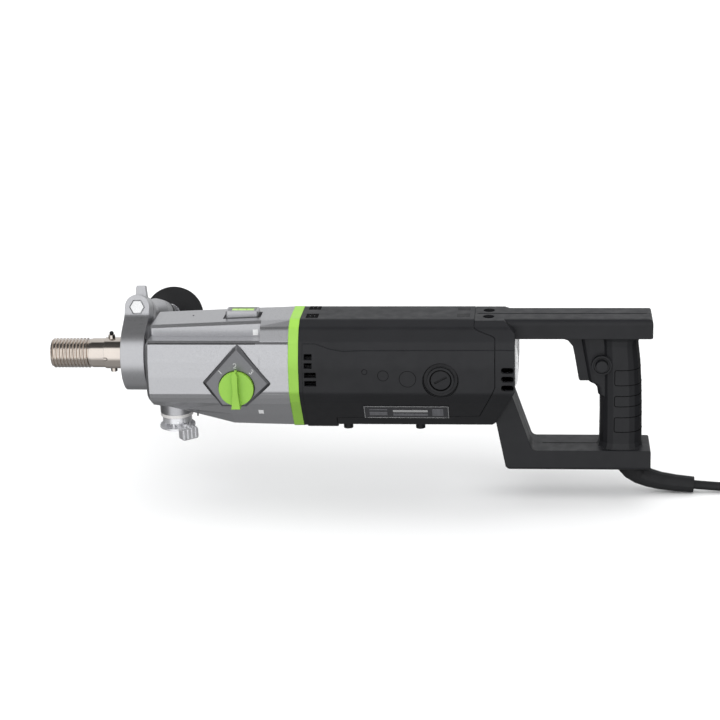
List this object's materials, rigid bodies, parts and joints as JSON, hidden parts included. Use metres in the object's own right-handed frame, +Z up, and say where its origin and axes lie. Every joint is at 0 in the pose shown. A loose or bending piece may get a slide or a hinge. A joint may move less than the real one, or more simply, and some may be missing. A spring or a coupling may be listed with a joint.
{
  "type": "diamond core drill",
  "caption": "Hand-held wet diamond core drill: geared spindle with bit thread, speed selector, water valve, swivelling side handle, D-handle with trigger, and mains cord.",
  "frame": {"origin": "on the spindle axis at the shoulder where the bit thread ends", "axes": "+X to the rear along the spindle axis, +Z up, -Y towards the side with the speed selector"},
  "size_m": [0.9043, 0.3631, 0.2231],
  "materials": {
    "silver_paint": "satin metallic grey paint over cast aluminium",
    "spindle_steel": "turned and nickel-tinted steel",
    "gear_steel": "ground steel",
    "core_steel": "stacked electrical steel",
    "chrome": "polished chrome plate",
    "bright_steel": "zinc plated steel",
    "black_plastic": "fine spark-eroded texture",
    "black_rubber": "moulded rubber",
    "green_plastic": "smooth moulded plastic",
    "vial_fluid": "clear vial with yellow-green fluid",
    "copper": "enamelled copper",
    "brass": "bare brass",
    "plate_foil": "bare metallised plate"
  },
  "bodies": {
    "drill": {"gear_housing": "silver_paint", "bearing_bridge": "silver_paint", "front_bearing": "gear_steel", "tail_bearing": "gear_steel", "front_seal": "black_rubber", "rear_seal": "black_rubber", "needle_bearing": "gear_steel", "lay_bearing": "gear_steel", "level_frame": "silver_paint", "level_vial": "vial_fluid", "selector_plate": "silver_paint", "valve_ring": "bright_steel", "valve_body": "chrome", "green_band": "green_plastic", "bearing_plate": "silver_paint", "rotor_bearing": "gear_steel", "rotor_tail_bearing": "gear_steel", "motor_housing": "black_plastic", "rear_bracket": "silver_paint", "stator_core": "core_steel", "field_coils": "copper", "brush_caps": "black_plastic", "brush_holders": "brass", "carbon_brushes": "black_plastic", "rating_plate": "plate_foil", "feet": "black_rubber", "near_shell": "black_plastic", "far_shell": "black_plastic", "rear_grille": "bright_steel", "shell_screws": "bright_steel", "switch_body": "black_plastic", "strain_relief": "black_rubber", "cord": "black_rubber", "coil": "black_rubber", "plug": "black_rubber"},
    "spindle": {"spindle": "spindle_steel", "spindle_plug": "black_rubber", "mid_gear": "gear_steel"},
    "low_gear": {"low_gear": "gear_steel"},
    "high_gear": {"high_gear": "gear_steel"},
    "layshaft": {"layshaft": "gear_steel", "lay_wheel": "gear_steel"},
    "rotor": {"rotor_shaft": "gear_steel", "rotor_core": "core_steel", "rotor_windings": "copper", "commutator": "copper", "cooling_fan": "black_plastic"},
    "selector": {"selector_knob": "green_plastic"},
    "shifter": {"shift_fork": "brass"},
    "clamp": {"clamp_ring": "silver_paint", "clamp_bolt": "bright_steel"},
    "side_handle": {"handle_shaft": "silver_paint", "handle_sleeve": "silver_paint", "handle_band": "black_rubber", "handle_ferrule": "chrome", "guard_disc": "black_rubber", "side_grip": "black_rubber"},
    "water_lever": {"water_lever": "chrome"},
    "trigger": {"trigger": "black_plastic"},
    "lock_button": {"lock_button": "black_plastic"}
  },
  "joints": [
    {"name": "rotor_spin", "type": "hinge", "parent": "drill", "child": "rotor", "pos_m": [0.3, 0, -0.0123], "axis": [1, 0, 0], "continuous": true},
    {"name": "layshaft_spin", "type": "hinge", "parent": "drill", "child": "layshaft", "pos_m": [0.15, 0, -0.0399], "axis": [1, 0, 0], "continuous": true},
    {"name": "spindle_spin", "type": "hinge", "parent": "drill", "child": "spindle", "pos_m": [0, 0, 0], "axis": [1, 0, 0], "continuous": true},
    {"name": "low_gear_spin", "type": "hinge", "parent": "drill", "child": "low_gear", "pos_m": [0.1, 0, 0], "axis": [1, 0, 0], "continuous": true},
    {"name": "high_gear_spin", "type": "hinge", "parent": "drill", "child": "high_gear", "pos_m": [0.145, 0, 0], "axis": [1, 0, 0], "continuous": true},
    {"name": "selector_turn", "type": "hinge", "parent": "drill", "child": "selector", "pos_m": [0.1623, -0.05, -0.0206], "axis": [0, 1, 0], "range_deg": [-46, 46]},
    {"name": "shifter_slide", "type": "slide", "parent": "drill", "child": "shifter", "axis": [1, 0, 0], "range_m": [-0.005, 0.005]},
    {"name": "clamp_swivel", "type": "hinge", "parent": "drill", "child": "clamp", "pos_m": [0.053, 0, 0], "axis": [1, 0, 0], "range_deg": [-180, 180]},
    {"name": "side_handle_turn", "type": "hinge", "parent": "clamp", "child": "side_handle", "pos_m": [0.053, 0.01614, 0.04435], "axis": [0, 0.9397, -0.342], "continuous": true},
    {"name": "water_lever_turn", "type": "hinge", "parent": "drill", "child": "water_lever", "pos_m": [0.0996, -0.01537, -0.0784], "axis": [0.6157, -0.788, 0], "range_deg": [0, 90]},
    {"name": "trigger_press", "type": "slide", "parent": "drill", "child": "trigger", "axis": [1, 0, 0], "range_m": [0, 0.006], "stiffness_N_per_m": 900, "springref_m": -0.004},
    {"name": "lock_press", "type": "slide", "parent": "drill", "child": "lock_button", "axis": [0, 1, 0], "range_m": [0, 0.0025], "stiffness_N_per_m": 600, "springref_m": -0.002}
  ],
  "couplings": [
    {"joint": "layshaft_spin", "follows": "rotor_spin", "ratio": -0.24324},
    {"joint": "spindle_spin", "follows": "rotor_spin", "ratio": 0.12162},
    {"joint": "low_gear_spin", "follows": "rotor_spin", "ratio": 0.071867},
    {"joint": "high_gear_spin", "follows": "rotor_spin", "ratio": 0.21892},
    {"joint": "selector_turn", "follows": "shifter_slide", "rad_per_m": 157.08}
  ]
}
